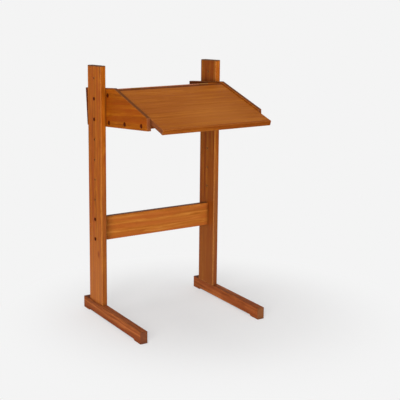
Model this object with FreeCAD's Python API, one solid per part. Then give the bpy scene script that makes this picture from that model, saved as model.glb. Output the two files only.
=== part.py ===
import FreeCAD, Part
import math
import os
from FreeCAD import Placement, Rotation, Vector

# Clerk's standing desk in solid teak, in millimetres.
# +X is to the right of a person standing at the desk, -Y is the front, +Z is up.
# The origin is on the floor, in the middle of the desk's width and depth.

# Posts: two upright planks with a row of holes, one hole pitch apart.
# Their tops are cut with a slight fall towards the back.
post_spacing = 680.0
post_thickness = 28.0
post_depth = 140.0
post_height = 1250.0
post_top_fall = 6.0
post_arris = 2.5
hole_rows = 9
hole_pitch = 100.0
hole_radius = 4.5
top_hole_drop = 64.0

# Feet: sled feet along Y, relieved underneath between two end pads
foot_width = 38.0
foot_height = 58.0
foot_front = 410.0
foot_behind = 50.0
foot_arris = 2.0
pad_length = 60.0
relief_height = 6.0
relief_ramp = 8.0

# Mortise and tenon between each post and its foot
tenon_thickness = 16.0
tenon_length = 100.0
tenon_depth = 40.0

# Crossbar: stands on edge between the posts, on the two lowest rows of holes
bar_thickness = 28.0
bar_above_bolt = 11.0
bar_below_bolt = 9.0
bar_arris = 2.0
barrel_radius = 7.0
barrel_length = 20.0
barrel_inset = 35.0
barrel_thread = 10.0

# Machine bolts with a wide low head
bolt_radius = 4.0
bolt_head_radius = 8.5
bolt_head_height = 3.2
thread_clearance = 0.1

# Writing unit: two cheeks hung on rows 2 and 3 of the posts, front end raised by the tilt.
# Its sizes are taken from the upper bolt: forwards, backwards, up and down.
upper_bolt_row = 2
unit_tilt = 5.0
cheek_thickness = 20.0
cheek_behind = 148.0
cheek_flat_front = 152.0
cheek_front = 466.0
cheek_rise = 51.0
cheek_height = 186.0
cheek_nose = 58.0
cheek_arris = 2.0

# Threaded bushes pressed through the cheeks, for the bolts that carry the writing unit
bush_radius = 6.0

# Boards between the cheeks
bottom_thickness = 20.0
bottom_margin = 11.0
back_thickness = 20.0
back_from_bolt = 82.0
ledge_thickness = 20.0
ledge_overhang = 6.0
board_arris = 1.5

# Tongue along the back board's top edge, in a groove under the ledge
tongue_thickness = 8.0
tongue_height = 8.0

# Screws in cup washers through the cheeks into the boards
cup_radius = 10.5
cup_top_radius = 8.2
cup_height = 4.0
screw_radius = 2.5
screw_hole_radius = 2.8
screw_reach = 47.0
upper_screw_drop = 35.0
bottom_screw_count = 3
front_screw_inset = 54.0

# Lid: a panel with solid lippings, sunk between the cheeks and hinged at its back edge
lid_thickness = 24.0
lid_recess = 6.0
lid_overhang = 113.0
lid_side_gap = 1.0
lid_seat_gap = 0.3
front_lipping = 12.0
back_lipping = 20.0
side_lipping = 10.0
lid_arris = 1.5

# Butt hinges in the joint between the ledge and the lid
hinge_length = 50.0
hinge_from_side = 100.0
hinge_gap = 1.0
leaf_gap = 0.2
leaf_height = 18.0
leaf_thickness = 1.4
knuckle_radius = 3.0
knuckle_side_play = 0.2
knuckle_room = 0.4
pin_radius = 1.5
pin_clearance = 0.05
pin_rise = 0.5

# Shanks and bores that lie hidden in the wood are drawn with this many flats
hidden_flats = 12

X_AXIS = Vector(1, 0, 0)
Y_AXIS = Vector(0, 1, 0)
Z_AXIS = Vector(0, 0, 1)

# Sizes that follow from the ones above
post_outer = post_spacing / 2
post_inner = post_outer - post_thickness
foot_outer = post_inner + foot_width
cheek_inner = post_inner - cheek_thickness
lid_half_width = cheek_inner - lid_side_gap
top_hole_height = post_height - top_hole_drop
upper_bolt_height = top_hole_height - (upper_bolt_row - 1) * hole_pitch
lower_bolt_height = upper_bolt_height - hole_pitch
bar_lower_bolt_height = top_hole_height - (hole_rows - 1) * hole_pitch
bar_upper_bolt_height = bar_lower_bolt_height + hole_pitch
bar_top = bar_upper_bolt_height + bar_above_bolt
bar_bottom = bar_lower_bolt_height - bar_below_bolt
bar_bolt_reach = barrel_inset - barrel_radius + barrel_thread

slope = math.atan2(cheek_height - cheek_nose, cheek_front - cheek_flat_front)
cheek_bottom = cheek_rise - cheek_height
ledge_top = cheek_rise - lid_recess / math.cos(slope)
ledge_bottom = ledge_top - ledge_thickness
bottom_low = cheek_bottom + bottom_margin
bottom_top = bottom_low + bottom_thickness
back_front = back_from_bolt + back_thickness
back_middle = back_from_bolt + back_thickness / 2
lid_length = (cheek_front - cheek_flat_front) / math.cos(slope) + lid_overhang
pin_height = ledge_top + pin_rise
hinge_middle = lid_half_width - hinge_from_side


def unit_reach(forward, up):
    """Distance in front of the bolt line of a point of the tilted writing unit."""
    tilt = math.radians(unit_tilt)
    return forward * math.cos(tilt) - up * math.sin(tilt)


def on_lid(along, down):
    """Point of the lid: along the slope from the hinge line, down through the thickness."""
    forward = cheek_flat_front + along * math.cos(slope) - down * math.sin(slope)
    up = ledge_top - along * math.sin(slope) - down * math.cos(slope)
    return forward, up


front_reach = unit_reach(*on_lid(lid_length, 0))
rear_reach = -unit_reach(-cheek_behind, cheek_rise)
post_middle = (front_reach - rear_reach) / 2


def block(x_range, y_range, z_range):
    low = Vector(x_range[0], y_range[0], z_range[0])
    size = Vector(x_range[1], y_range[1], z_range[1]) - low
    return Part.makeBox(size.x, size.y, size.z, low)


def side_prism(outline, x_low, x_high):
    """Prism between two X planes; the outline holds (forward, up) points."""
    corners = [Vector(x_low, -forward, up) for forward, up in outline]
    face = Part.Face(Part.makePolygon(corners + corners[:1]))
    return face.extrude(Vector(x_high - x_low, 0, 0))


def rod(radius, start, direction, length):
    return Part.makeCylinder(radius, length, start, direction)


def flatted_rod(radius, start, direction, length):
    """Rod whose flats touch the circle of that radius, for hidden shanks and bores."""
    reach = radius / math.cos(math.pi / hidden_flats)
    corners = []
    for step in range(hidden_flats):
        turn = 2 * math.pi * step / hidden_flats
        corners.append(Vector(reach * math.cos(turn), reach * math.sin(turn), 0))
    prism = Part.Face(Part.makePolygon(corners + corners[:1])).extrude(Vector(0, 0, length))
    prism.Placement = Placement(start, Rotation(Z_AXIS, direction))
    return prism


def mirrored(shape):
    """The right-hand piece that matches a left-hand one."""
    return shape.mirror(Vector(0, 0, 0), X_AXIS)


def eased(shape, width, wanted):
    """Planes a narrow chamfer on the edges for which wanted(edge middle, edge direction) is true."""
    edges = []
    for edge in shape.Edges:
        middle = edge.valueAt((edge.FirstParameter + edge.LastParameter) / 2)
        direction = edge.tangentAt(edge.FirstParameter)
        if wanted(middle, direction):
            edges.append(edge)
    return shape.makeChamfer(width, edges)


def in_unit(shape):
    """Carries a piece modelled about the upper bolt into its tilted place on the posts."""
    turn = Placement(Vector(0, 0, 0), Rotation(X_AXIS, -unit_tilt))
    lift = Placement(Vector(0, post_middle, upper_bolt_height), Rotation())
    placed = shape.copy()
    placed.Placement = lift.multiply(turn).multiply(placed.Placement)
    return placed


def hole_heights():
    return [top_hole_height - row * hole_pitch for row in range(hole_rows)]


def post():
    """Left post with its row of holes and the tenon that enters the foot."""
    front = post_middle - post_depth / 2
    back = post_middle + post_depth / 2
    outline = [
        (-back, foot_height),
        (-back, post_height - post_top_fall),
        (-front, post_height),
        (-front, foot_height),
    ]
    plank = side_prism(outline, -post_outer, -post_inner)
    above_foot = foot_height + post_arris
    plank = eased(plank, post_arris, lambda middle, along: middle.z > above_foot)
    middle_x = -(post_outer + post_inner) / 2
    tenon = block(
        (middle_x - tenon_thickness / 2, middle_x + tenon_thickness / 2),
        (post_middle - tenon_length / 2, post_middle + tenon_length / 2),
        (foot_height - tenon_depth, foot_height),
    )
    plank = plank.fuse(tenon).removeSplitter()
    for height in hole_heights():
        start = Vector(-post_outer, post_middle, height)
        plank = plank.cut(rod(hole_radius, start, X_AXIS, post_thickness))
    return plank


def foot():
    """Left sled foot with its relieved underside and the blind mortise for the post."""
    front = -(post_middle - post_depth / 2 - foot_front)
    back = -(post_middle + post_depth / 2 + foot_behind)
    outline = [
        (back, 0),
        (back + pad_length, 0),
        (back + pad_length + relief_ramp, relief_height),
        (front - pad_length - relief_ramp, relief_height),
        (front - pad_length, 0),
        (front, 0),
        (front, foot_height),
        (back, foot_height),
    ]
    rail = side_prism(outline, -foot_outer, -post_inner)
    rail = eased(rail, foot_arris, lambda middle, along: middle.z > relief_height + foot_arris)
    middle_x = -(post_outer + post_inner) / 2
    mortise = block(
        (middle_x - tenon_thickness / 2, middle_x + tenon_thickness / 2),
        (post_middle - tenon_length / 2, post_middle + tenon_length / 2),
        (foot_height - tenon_depth, foot_height),
    )
    return rail.cut(mortise)


def crossbar():
    """Crossbar with bolt bores in its ends that run into barrel-nut bores from its rear face."""
    front = post_middle - bar_thickness / 2
    back = post_middle + bar_thickness / 2
    bar = block((-post_inner, post_inner), (front, back), (bar_bottom, bar_top))
    bar = eased(bar, bar_arris, lambda middle, along: abs(along.x) > 0.9)
    for side in (-1, 1):
        for height in (bar_lower_bolt_height, bar_upper_bolt_height):
            end = Vector(side * post_inner, post_middle, height)
            bar = bar.cut(flatted_rod(hole_radius, end, X_AXIS * -side, barrel_inset))
            nut_start = Vector(side * (post_inner - barrel_inset), back, height)
            bar = bar.cut(rod(barrel_radius, nut_start, -Y_AXIS, barrel_length))
    return bar


def bolt(height, reach):
    """Left-hand bolt: its head lies on the post's outer face and its shank points inwards."""
    head = rod(bolt_head_radius, Vector(0, 0, -bolt_head_height), Z_AXIS, bolt_head_height)
    shank = rod(bolt_radius, Vector(0, 0, 0), Z_AXIS, reach)
    solid = head.fuse(shank)
    seat = Vector(-post_outer, post_middle, height)
    solid.Placement = Placement(seat, Rotation(Z_AXIS, X_AXIS))
    return solid


def crossbar_bolts():
    reach = post_thickness + bar_bolt_reach
    return Part.makeCompound([bolt(bar_lower_bolt_height, reach), bolt(bar_upper_bolt_height, reach)])


def crossbar_barrel_nuts():
    """Left pair of cross dowels, each tapped from the side that its bolt comes from."""
    nuts = []
    for height in (bar_lower_bolt_height, bar_upper_bolt_height):
        middle = Vector(-(post_inner - barrel_inset), post_middle, height)
        start = middle + Y_AXIS * (bar_thickness / 2)
        nut = rod(barrel_radius - thread_clearance, start, -Y_AXIS, barrel_length)
        mouth = middle - X_AXIS * barrel_radius
        tapped = flatted_rod(bolt_radius + thread_clearance, mouth, X_AXIS, barrel_thread)
        nuts.append(nut.cut(tapped))
    return Part.makeCompound(nuts)


def height_bolts():
    """Left pair of bolts that carry the writing unit, through the post into the bushes."""
    reach = post_thickness + cheek_thickness
    return Part.makeCompound([bolt(lower_bolt_height, reach), bolt(upper_bolt_height, reach)])


def bush_bars():
    """The bars that the bushes are bored from, on the lines of the two height bolts."""
    bars = []
    for height in (lower_bolt_height, upper_bolt_height):
        start = Vector(-post_inner, post_middle, height)
        bars.append(flatted_rod(bush_radius, start, X_AXIS, cheek_thickness))
    return bars


def cheek_bushes():
    tubes = []
    for height, bar in zip((lower_bolt_height, upper_bolt_height), bush_bars()):
        start = Vector(-post_inner, post_middle, height)
        tubes.append(bar.cut(rod(bolt_radius + thread_clearance, start, X_AXIS, cheek_thickness)))
    return Part.makeCompound(tubes)


def bottom_screw_places():
    first = back_middle
    last = cheek_front - front_screw_inset
    pitch = (last - first) / (bottom_screw_count - 1)
    height = bottom_low + bottom_thickness / 2
    return [(first + step * pitch, height) for step in range(bottom_screw_count)]


def cheek_screw_places():
    return [(back_middle, cheek_rise - upper_screw_drop)] + bottom_screw_places()


def cheek():
    """Left cheek: level top, slope for the lid, short upright nose."""
    outline = [
        (-cheek_behind, cheek_bottom),
        (cheek_front, cheek_bottom),
        (cheek_front, cheek_bottom + cheek_nose),
        (cheek_flat_front, cheek_rise),
        (-cheek_behind, cheek_rise),
    ]
    board = side_prism(outline, -post_inner, -cheek_inner)
    board = eased(board, cheek_arris, lambda middle, along: abs(along.x) < 0.5)
    for forward, up in cheek_screw_places():
        start = Vector(-post_inner, -forward, up)
        board = board.cut(flatted_rod(screw_hole_radius, start, X_AXIS, cheek_thickness))
    return in_unit(board).cut(bush_bars())


def cheek_screw(forward, up):
    """Screw seated in a cup washer, which is pressed on under its head."""
    cup = Part.makeCone(cup_radius, cup_top_radius, cup_height)
    shank = flatted_rod(screw_radius, Vector(0, 0, -screw_reach), Z_AXIS, screw_reach)
    solid = cup.fuse(shank)
    solid.Placement = Placement(Vector(-post_inner, -forward, up), Rotation(Z_AXIS, -X_AXIS))
    return solid


def cheek_screws():
    return in_unit(Part.makeCompound([cheek_screw(*place) for place in cheek_screw_places()]))


def screw_pilots(places):
    """Holes of the cheek screws in the ends of the boards, on both sides."""
    pilots = []
    for forward, up in places:
        left = flatted_rod(screw_radius, Vector(-post_inner, -forward, up), X_AXIS, screw_reach)
        pilots += [left, mirrored(left)]
    return pilots


def bottom_board():
    """Floor of the writing unit; its front edge is planed to the slope to seat the lid."""
    seat_drop = lid_thickness / math.cos(slope) + lid_seat_gap
    nose = ledge_top - (cheek_front - cheek_flat_front) * math.tan(slope) - seat_drop
    bevel_start = cheek_front - (bottom_top - nose) / math.tan(slope)
    outline = [
        (back_from_bolt, bottom_low),
        (cheek_front, bottom_low),
        (cheek_front, nose),
        (bevel_start, bottom_top),
        (back_from_bolt, bottom_top),
    ]
    board = side_prism(outline, -cheek_inner, cheek_inner)
    board = board.cut(screw_pilots(bottom_screw_places()))
    return in_unit(board)


def tongue():
    """The ridge along the back board's top edge that the ledge is glued over."""
    near = -back_middle - tongue_thickness / 2
    far = -back_middle + tongue_thickness / 2
    return block((-cheek_inner, cheek_inner), (near, far), (ledge_bottom, ledge_bottom + tongue_height))


def back_board():
    board = block(
        (-cheek_inner, cheek_inner), (-back_front, -back_from_bolt), (bottom_top, ledge_bottom)
    )
    board = board.fuse(tongue()).removeSplitter()
    board = board.cut(screw_pilots([(back_middle, cheek_rise - upper_screw_drop)]))
    return in_unit(board)


def hinge_sides():
    return [-hinge_middle, hinge_middle]


def knuckle_pockets():
    """Round room for the hinge knuckles in the top arris of the joint."""
    pockets = []
    radius = knuckle_radius + knuckle_room
    length = hinge_length + 2 * knuckle_side_play
    for x in hinge_sides():
        start = Vector(x - length / 2, -cheek_flat_front, pin_height)
        pockets.append(rod(radius, start, X_AXIS, length))
    return pockets


def leaf_plate(x, side):
    """Leaf against the ledge (side -1) or the lid (side +1), up to the pin's height."""
    near = cheek_flat_front + side * leaf_gap / 2
    far = near + side * leaf_thickness
    low, high = sorted((-near, -far))
    x_range = (x - hinge_length / 2, x + hinge_length / 2)
    return block(x_range, (low, high), (pin_height - leaf_height, pin_height))


def knuckle_spans(x, side):
    """The ledge leaf has the two outer knuckles, the lid leaf has the middle one."""
    third = hinge_length / 3
    low = x - hinge_length / 2
    edges = [low, low + third, low + 2 * third, low + 3 * third]
    play = knuckle_side_play / 2
    if side > 0:
        return [(edges[1] + play, edges[2] - play)]
    return [(edges[0], edges[1] - play), (edges[2] + play, edges[3])]


def knuckle_rods(spans, radius, spare):
    rods = []
    for low, high in spans:
        start = Vector(low - spare, -cheek_flat_front, pin_height)
        rods.append(rod(radius, start, X_AXIS, high - low + 2 * spare))
    return rods


def hinge_leaf(x, side):
    """Flat leaf with its rolled knuckles, bored for the pin."""
    plate = leaf_plate(x, side)
    other = knuckle_spans(x, -side)
    plate = plate.cut(knuckle_rods(other, knuckle_radius + knuckle_room, knuckle_side_play))
    leaf = plate.fuse(knuckle_rods(knuckle_spans(x, side), knuckle_radius, 0)).removeSplitter()
    whole = [(x - hinge_length / 2, x + hinge_length / 2)]
    return leaf.cut(knuckle_rods(whole, pin_radius + pin_clearance, knuckle_side_play))


def hinge_pins():
    pins = []
    for x in hinge_sides():
        start = Vector(x - hinge_length / 2, -cheek_flat_front, pin_height)
        pins.append(rod(pin_radius, start, X_AXIS, hinge_length))
    return in_unit(Part.makeCompound(pins))


def hinge_recesses(side):
    """What the hinges take out of the wood on one side of the joint."""
    return knuckle_pockets() + [leaf_plate(x, side) for x in hinge_sides()]


def rear_ledge():
    front = cheek_flat_front - hinge_gap / 2
    rear = back_from_bolt - ledge_overhang
    ledge = block((-cheek_inner, cheek_inner), (-front, -rear), (ledge_bottom, ledge_top))
    rear_edge = -rear - board_arris
    ledge = eased(ledge, board_arris, lambda middle, along: middle.y > rear_edge and abs(along.x) > 0.9)
    return in_unit(ledge.cut([tongue()] + hinge_recesses(-1)))


def lid_prism(along_low, along_high, x_low, x_high):
    """Part of the lid between two distances along the slope, square to its face."""
    outline = [
        on_lid(along_low, 0),
        on_lid(along_high, 0),
        on_lid(along_high, lid_thickness),
        on_lid(along_low, lid_thickness),
    ]
    return side_prism(outline, x_low, x_high)


def lid_panel():
    side = lid_half_width - side_lipping
    return in_unit(lid_prism(back_lipping, lid_length - front_lipping, -side, side))


def lid_front_lipping():
    """Front lipping over the lid's whole width, its outer arrises eased."""
    strip = lid_prism(lid_length - front_lipping, lid_length, -lid_half_width, lid_half_width)
    front_forward, front_up = on_lid(lid_length, lid_thickness / 2)
    inner_forward, inner_up = on_lid(lid_length - front_lipping, lid_thickness / 2)
    halfway = -(front_forward + inner_forward) / 2
    strip = eased(strip, lid_arris, lambda middle, along: middle.y < halfway)
    return in_unit(strip)


def lid_side_lipping():
    """Left lipping between the front and back ones."""
    inner = -(lid_half_width - side_lipping)
    strip = lid_prism(back_lipping, lid_length - front_lipping, -lid_half_width, inner)
    outer = -lid_half_width + lid_arris
    strip = eased(strip, lid_arris, lambda middle, along: middle.x < outer and long_edge(along))
    return in_unit(strip)


def long_edge(along):
    """True for an edge that runs down the lid's slope."""
    return abs(along.y * math.cos(slope) + along.z * math.sin(slope)) > 0.9


def lid_back_lipping():
    """Back lipping: cut upright at the joint with the ledge, and let in for the hinges."""
    upright = cheek_flat_front + hinge_gap / 2
    start = hinge_gap / 2 / math.cos(slope)
    underside = ledge_top - hinge_gap / 2 * math.tan(slope) - lid_thickness / math.cos(slope)
    outline = [
        on_lid(start, 0),
        on_lid(back_lipping, 0),
        on_lid(back_lipping, lid_thickness),
        (upright, underside),
    ]
    strip = side_prism(outline, -lid_half_width, lid_half_width)
    return in_unit(strip.cut(hinge_recesses(1)))


def save(name, shape):
    for solid in shape.Solids:
        if not solid.isValid():
            raise ValueError("bad solid in " + name)
    shape.exportStep(os.path.join("parts", name + ".step"))


def save_pair(name, left):
    save("left_" + name, left)
    save("right_" + name, mirrored(left))


def save_side_set(name, left):
    save(name + "_left", left)
    save(name + "_right", mirrored(left))


def main():
    os.makedirs("parts", exist_ok=True)
    save_pair("foot", foot())
    save_pair("post", post())
    save_pair("cheek", cheek())
    save("crossbar", crossbar())
    save_side_set("crossbar_bolts", crossbar_bolts())
    save_side_set("crossbar_barrel_nuts", crossbar_barrel_nuts())
    save_side_set("height_bolts", height_bolts())
    save_side_set("cheek_bushes", cheek_bushes())
    save_side_set("cheek_screws", cheek_screws())
    save("bottom_board", bottom_board())
    save("back_board", back_board())
    save("rear_ledge", rear_ledge())
    save("lid_panel", lid_panel())
    save("lid_front_lipping", lid_front_lipping())
    save("lid_back_lipping", lid_back_lipping())
    save_side_set("lid_lipping", lid_side_lipping())
    for name, side in (("ledge", -1), ("lid", 1)):
        for hand, x in zip(("left", "right"), hinge_sides()):
            save("hinge_" + name + "_leaf_" + hand, in_unit(hinge_leaf(x, side)))
    save("hinge_pins", hinge_pins())


main()
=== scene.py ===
import math

import bmesh
import bpy
from mathutils import Matrix, Vector


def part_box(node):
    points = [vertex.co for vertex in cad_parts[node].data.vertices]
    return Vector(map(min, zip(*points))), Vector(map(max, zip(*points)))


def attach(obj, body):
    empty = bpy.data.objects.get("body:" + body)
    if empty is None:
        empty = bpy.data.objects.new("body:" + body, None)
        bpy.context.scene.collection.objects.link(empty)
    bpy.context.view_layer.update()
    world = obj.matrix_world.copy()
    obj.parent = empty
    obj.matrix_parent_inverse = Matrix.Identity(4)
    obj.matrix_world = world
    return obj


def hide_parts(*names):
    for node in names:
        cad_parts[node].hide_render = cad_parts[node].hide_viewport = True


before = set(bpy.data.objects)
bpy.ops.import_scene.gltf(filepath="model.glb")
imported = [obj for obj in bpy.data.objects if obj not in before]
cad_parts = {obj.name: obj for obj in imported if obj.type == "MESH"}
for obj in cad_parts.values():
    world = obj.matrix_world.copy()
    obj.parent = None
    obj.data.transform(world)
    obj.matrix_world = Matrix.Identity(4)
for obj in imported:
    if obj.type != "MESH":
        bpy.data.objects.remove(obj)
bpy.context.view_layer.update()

MM = 0.001
UP = Vector((0, 0, 1))
RIGHT = Vector((1, 0, 0))
BACK = Vector((0, 1, 0))


def on_slope(angle):
    """The direction that climbs away from the front at this angle."""
    return Vector((0, math.cos(angle), math.sin(angle)))


# The desk's own directions: the tilted writing unit's, the lid's (its slope is measured in the unit,
# whose front end is up) and the posts' sloping tops'
UNIT_TILT = math.radians(5.0)
LID_SLOPE = math.radians(22.18)
POST_TOP_SLOPE = math.atan2(6.0, 140.0)
unit_forward = Vector((0, -math.cos(UNIT_TILT), math.sin(UNIT_TILT)))
unit_up = Vector((0, math.sin(UNIT_TILT), math.cos(UNIT_TILT)))
lid_climb = on_slope(LID_SLOPE - UNIT_TILT)
lid_up = RIGHT.cross(lid_climb)
post_top_up = RIGHT.cross(on_slope(-POST_TOP_SLOPE))

# Heads of the bolts (mm), which also mark where the rows of holes are
BOLT_HEAD_RADIUS = 8.5
BOLT_HEAD_HEIGHT = 3.2


def upper_bolt():
    """The axis of the writing unit's upper bolt, where the unit's own measures start."""
    low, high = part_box("height_bolts_left")
    return Vector((0, (low.y + high.y) / 2, high.z - BOLT_HEAD_RADIUS * MM))


# ---------------------------------------------------------------- nodes


def colour(hex_code):
    """An sRGB hex colour as the linear colour that the shaders use."""
    channels = []
    for start in (0, 2, 4):
        value = int(hex_code[start:start + 2], 16) / 255
        channels.append(value / 12.92 if value <= 0.04045 else ((value + 0.055) / 1.055) ** 2.4)
    return (*channels, 1.0)


def add_node(tree, kind, settings, links=None):
    """Adds one node with its properties and unlinked inputs set, and its other inputs linked."""
    node = tree.nodes.new(kind)
    for name, value in settings.items():
        if isinstance(name, str) and hasattr(node, name):
            setattr(node, name, value)
        else:
            node.inputs[name].default_value = value
    for name, source in (links or {}).items():
        tree.links.new(source, node.inputs[name])
    return node


def new_material(name):
    """A material with an empty node tree."""
    material = bpy.data.materials.new(name)
    material.use_nodes = True
    material.node_tree.nodes.clear()
    return material


def set_ramp(node, stops):
    """Gives a colour ramp its (position, sRGB hex colour) stops."""
    elements = node.color_ramp.elements
    while len(elements) > 1:
        elements.remove(elements[-1])
    (position, tone), *others = stops
    elements[0].position = position
    elements[0].color = colour(tone)
    for position, tone in others:
        elements.new(position).color = colour(tone)


def reach_along(tree, direction):
    """How far along a direction the surface lies, in metres from the desk's origin."""
    place = add_node(tree, "ShaderNodeTexCoord", {}).outputs["Object"]
    dot = add_node(tree, "ShaderNodeVectorMath", {"operation": "DOT_PRODUCT", 1: direction}, {0: place})
    return dot.outputs["Value"]


def distance_from(tree, middle, squeeze=(1.0, 1.0, 1.0)):
    """How far the surface lies from a point, with the three axes squeezed by these factors."""
    place = add_node(tree, "ShaderNodeTexCoord", {}).outputs["Object"]
    offset = add_node(tree, "ShaderNodeVectorMath", {"operation": "SUBTRACT", 1: middle}, {0: place})
    squeezed = add_node(
        tree, "ShaderNodeVectorMath", {"operation": "MULTIPLY", 1: squeeze}, {0: offset.outputs["Vector"]}
    )
    length = add_node(tree, "ShaderNodeVectorMath", {"operation": "LENGTH"}, {0: squeezed.outputs["Vector"]})
    return length.outputs["Value"]


def squareness(tree, direction):
    """How squarely the surface faces a direction: 1 straight at it, 0 side on, -1 away from it."""
    normal = add_node(tree, "ShaderNodeTexCoord", {}).outputs["Normal"]
    dot = add_node(tree, "ShaderNodeVectorMath", {"operation": "DOT_PRODUCT", 1: direction}, {0: normal})
    return dot.outputs["Value"]


def facing_way(tree, direction):
    """1 on the faces that look this way, fading out as they turn from it."""
    return add_node(
        tree, "ShaderNodeMapRange", {"From Min": 0.5, "From Max": 0.9}, {"Value": squareness(tree, direction)}
    ).outputs["Result"]


def mixed_in(tree, base, mask, share, hex_code, blend="MIX"):
    """The base colour, blended with the given one by this share where the mask is 1."""
    amount = add_node(tree, "ShaderNodeMath", {"operation": "MULTIPLY", 1: share}, {0: mask})
    return add_node(
        tree, "ShaderNodeMix", {"data_type": "RGBA", "blend_type": blend, 7: colour(hex_code)},
        {0: amount.outputs["Value"], 6: base},
    ).outputs[2]


# ---------------------------------------------------------------- wood

# The figure of teak: length and width of each kind of mark (mm), and how much finer detail it holds.
# Real pores are some 0.3 mm wide, and are drawn coarser here so that they show. WAVE_PERIOD is the
# distance between two crests of a Wave texture of scale 1.
WANDER = (520, 70, 2.0)
STREAKS = (1100, 15, 3.0)
FINE_LINES = (300, 3.5, 4.0)
MOTTLE = (110, 9, 2.0)
HEARTWOOD = (1300, 24, 2.0)
PORES = (22, 0.9, 2.0)
NOISE_ROUGHNESS = 0.55
RING_WIDTH = 4.0
RING_SWAY = 30.0
WAVE_PERIOD = math.pi / 10

# How much each mark counts in the tone, where the tone turns from dark to middle to light, and the
# part of each noise in which heartwood and pores begin and are full
FINE_SHARE = 0.45
MOTTLE_SHARE = 0.5
RING_SHARE = -0.08
TONE_STOPS = (0.48, 0.68, 0.88)
HEARTWOOD_RANGE = (0.42, 0.62)
HEARTWOOD_SHARE = 0.8
PORE_RANGE = (0.60, 0.70)
PORE_SHARE = 0.35
PORE_TONE = "7A4422"
PORE_DEPTH = 0.3

# Sawn ends: how far a face turns into the end grain, and how much of its tone shows off and on the pores
END_RANGE = (0.4, 0.75)
END_SHARE = 0.85
END_SHARE_ON_PORES = 0.55

# Arrises: how far they are rounded (mm), how much the normal turns where their tone sets in, and their tones:
# paler from use and as painted highlight, darker on the feet
EASED_EDGE = 2.0
POST_EDGE = 5.0
ARRIS_RANGE = (0.985, 0.92)
ARRIS_WEAR_AND_HIGHLIGHT = "DC9850"
DARK_FOOT_ARRIS = "4A2C1C"

# Painted shade in corners and round the fittings: how far it reaches (mm), how shut in a place must be, how
# dark
CORNER_SHADE_REACH = 24.0
CORNER_SHADE_RANGE = (0.92, 0.4)
CORNER_SHADE_SHARE = 0.4
CORNER_SHADE_TONE = "6A4028"

# Painted shade on the walls of the posts' holes, over their darker oiled end grain, and on a rim round them
# (radii in mm)
HOLE_PITCH = 100.0
HOLE_SHADE_RIM = (5.2, 8.0)
HOLES_ABOVE = 340.0
HOLE_SHADE_SHARE = 0.85
HOLE_SHADE_TONE = "5A2008"

# Marks and painted light: places, heights and ranges in metres, depths and radii in millimetres, and each
# mark's share and tone; all but the soaked tops and the knot are painted light and shade
# painted light from the floor, paler low on the posts' broad faces
FLOOR_LIGHT_HEIGHTS = (0.62, 0.15)
FLOOR_LIGHT_SHARE = 0.45
FLOOR_LIGHT_TONE = "C0743C"
# painted shade low on the posts' front faces
FRONT_SHADE_HEIGHTS = (0.95, 0.55)
FRONT_SHADE_SHARE = {"left_post": 0.45, "right_post": 0.65}
FRONT_SHADE_TONE = "6E3C28"
# painted soft highlight on the lid's front middle
LID_HIGHLIGHT_PLACE = (0.05, -0.27, 1.02)
LID_HIGHLIGHT_RANGE = (0.27, 0.04)
LID_HIGHLIGHT_SHARE = 0.18
LID_HIGHLIGHT_TONE = "C07C3A"
# painted shade on the edges that look up
UPWARD_SHADE_SHARE = 0.9
UPWARD_SHADE_TONE = "5A3216"
SOAKED_DEPTHS = (7.0, 2.0)
SOAKED_SHARE = 0.85
KNOT_PLACE = (0.179, 0.315)
KNOT_SQUEEZE = (0.8, 1.0, 0.55)
KNOT_RADII = (15.0, 2.0)
KNOT_SHARE = 0.9
KNOT_TONE = "863818"

# Painted shade on faces under and behind other parts (mm): where the lid's back edge and the posts' rear
# faces are, how quickly the shade sets in below and behind them, the share of it along the feet's
# tops, and its tone
LID_BACK_EDGE = (66.3, 1143.6)
POST_REAR = 283.8
LID_SHADE_DEPTHS = (1.0, 4.0)
REAR_SHADE_REACH = 30.0
WING_SHADE_REACH = 25.0
FOOT_SHADE_REACH = (-15.0, 5.0)
FOOT_TOP_SHADE_SHARE = 0.1
PAINTED_SHADE_TONE = "A29084"

# The faces that get painted shade, and how deep it is: inside the box, under the lid, behind the posts and on
# the right post's inner side
PAINTED_SHADE_FACES = {
    "left_cheek": [(RIGHT, 1.0)],
    "right_cheek": [(-RIGHT, 1.0)],
    "bottom_board": [(unit_up, 1.0), (unit_forward, 0.8)],
    "back_board": [(unit_forward, 1.0)],
    "lid_panel": [(-lid_up, 1.0)],
    "right_post": [(-RIGHT, 0.6)],
    "left_foot": [(UP, 1.0)],
    "right_foot": [(UP, 1.0)],
}

# Dark, middle, light and reddish tones of each cut of teak
SOLID_TEAK = ("82400C", "A45610", "B86C1C", "9C4612")
RUDDY_TEAK = ("86400E", "AC5E1A", "C07828", "A04A10")
# darker tones for the boards inside the box: painted shade
PAINTED_SHADE_TEAK = ("78360A", "964E10", "AC621C", "8C3C10")
CHEEK_TEAK = ("82400A", "9A500C", "AC5E14", "92420C")
FOOT_TEAK = ("763C1E", "985228", "B86A38", "8C4424")
BAR_TEAK = ("9C561C", "B06624", "C27A34", "AC5A24")
LID_VENEER = ("86460E", "945216", "A25E1E", "8E4C18")
# the lid's back lipping, darkened as painted shade along the lid's back edge
PAINTED_SHADE_LIPPING = ("56280C", "643010", "723C16", "5E2C0E")
LIPPING_TEAK = ("7C3C0F", "8C4913", "9E591D", "864111")

# Oiled end grain: the posts' tops have drunk the most
POST_ENDS = "4A3224"
FOOT_ENDS = "6C402C"
PALE_ENDS = "855534"
OTHER_ENDS = "764228"

# The shine of planed and oiled teak and of boards rubbed matt, and how much rougher pores and ends are
OILED = 0.03
MATT = 0.012
PORES_ROUGHER = 0.25
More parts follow.
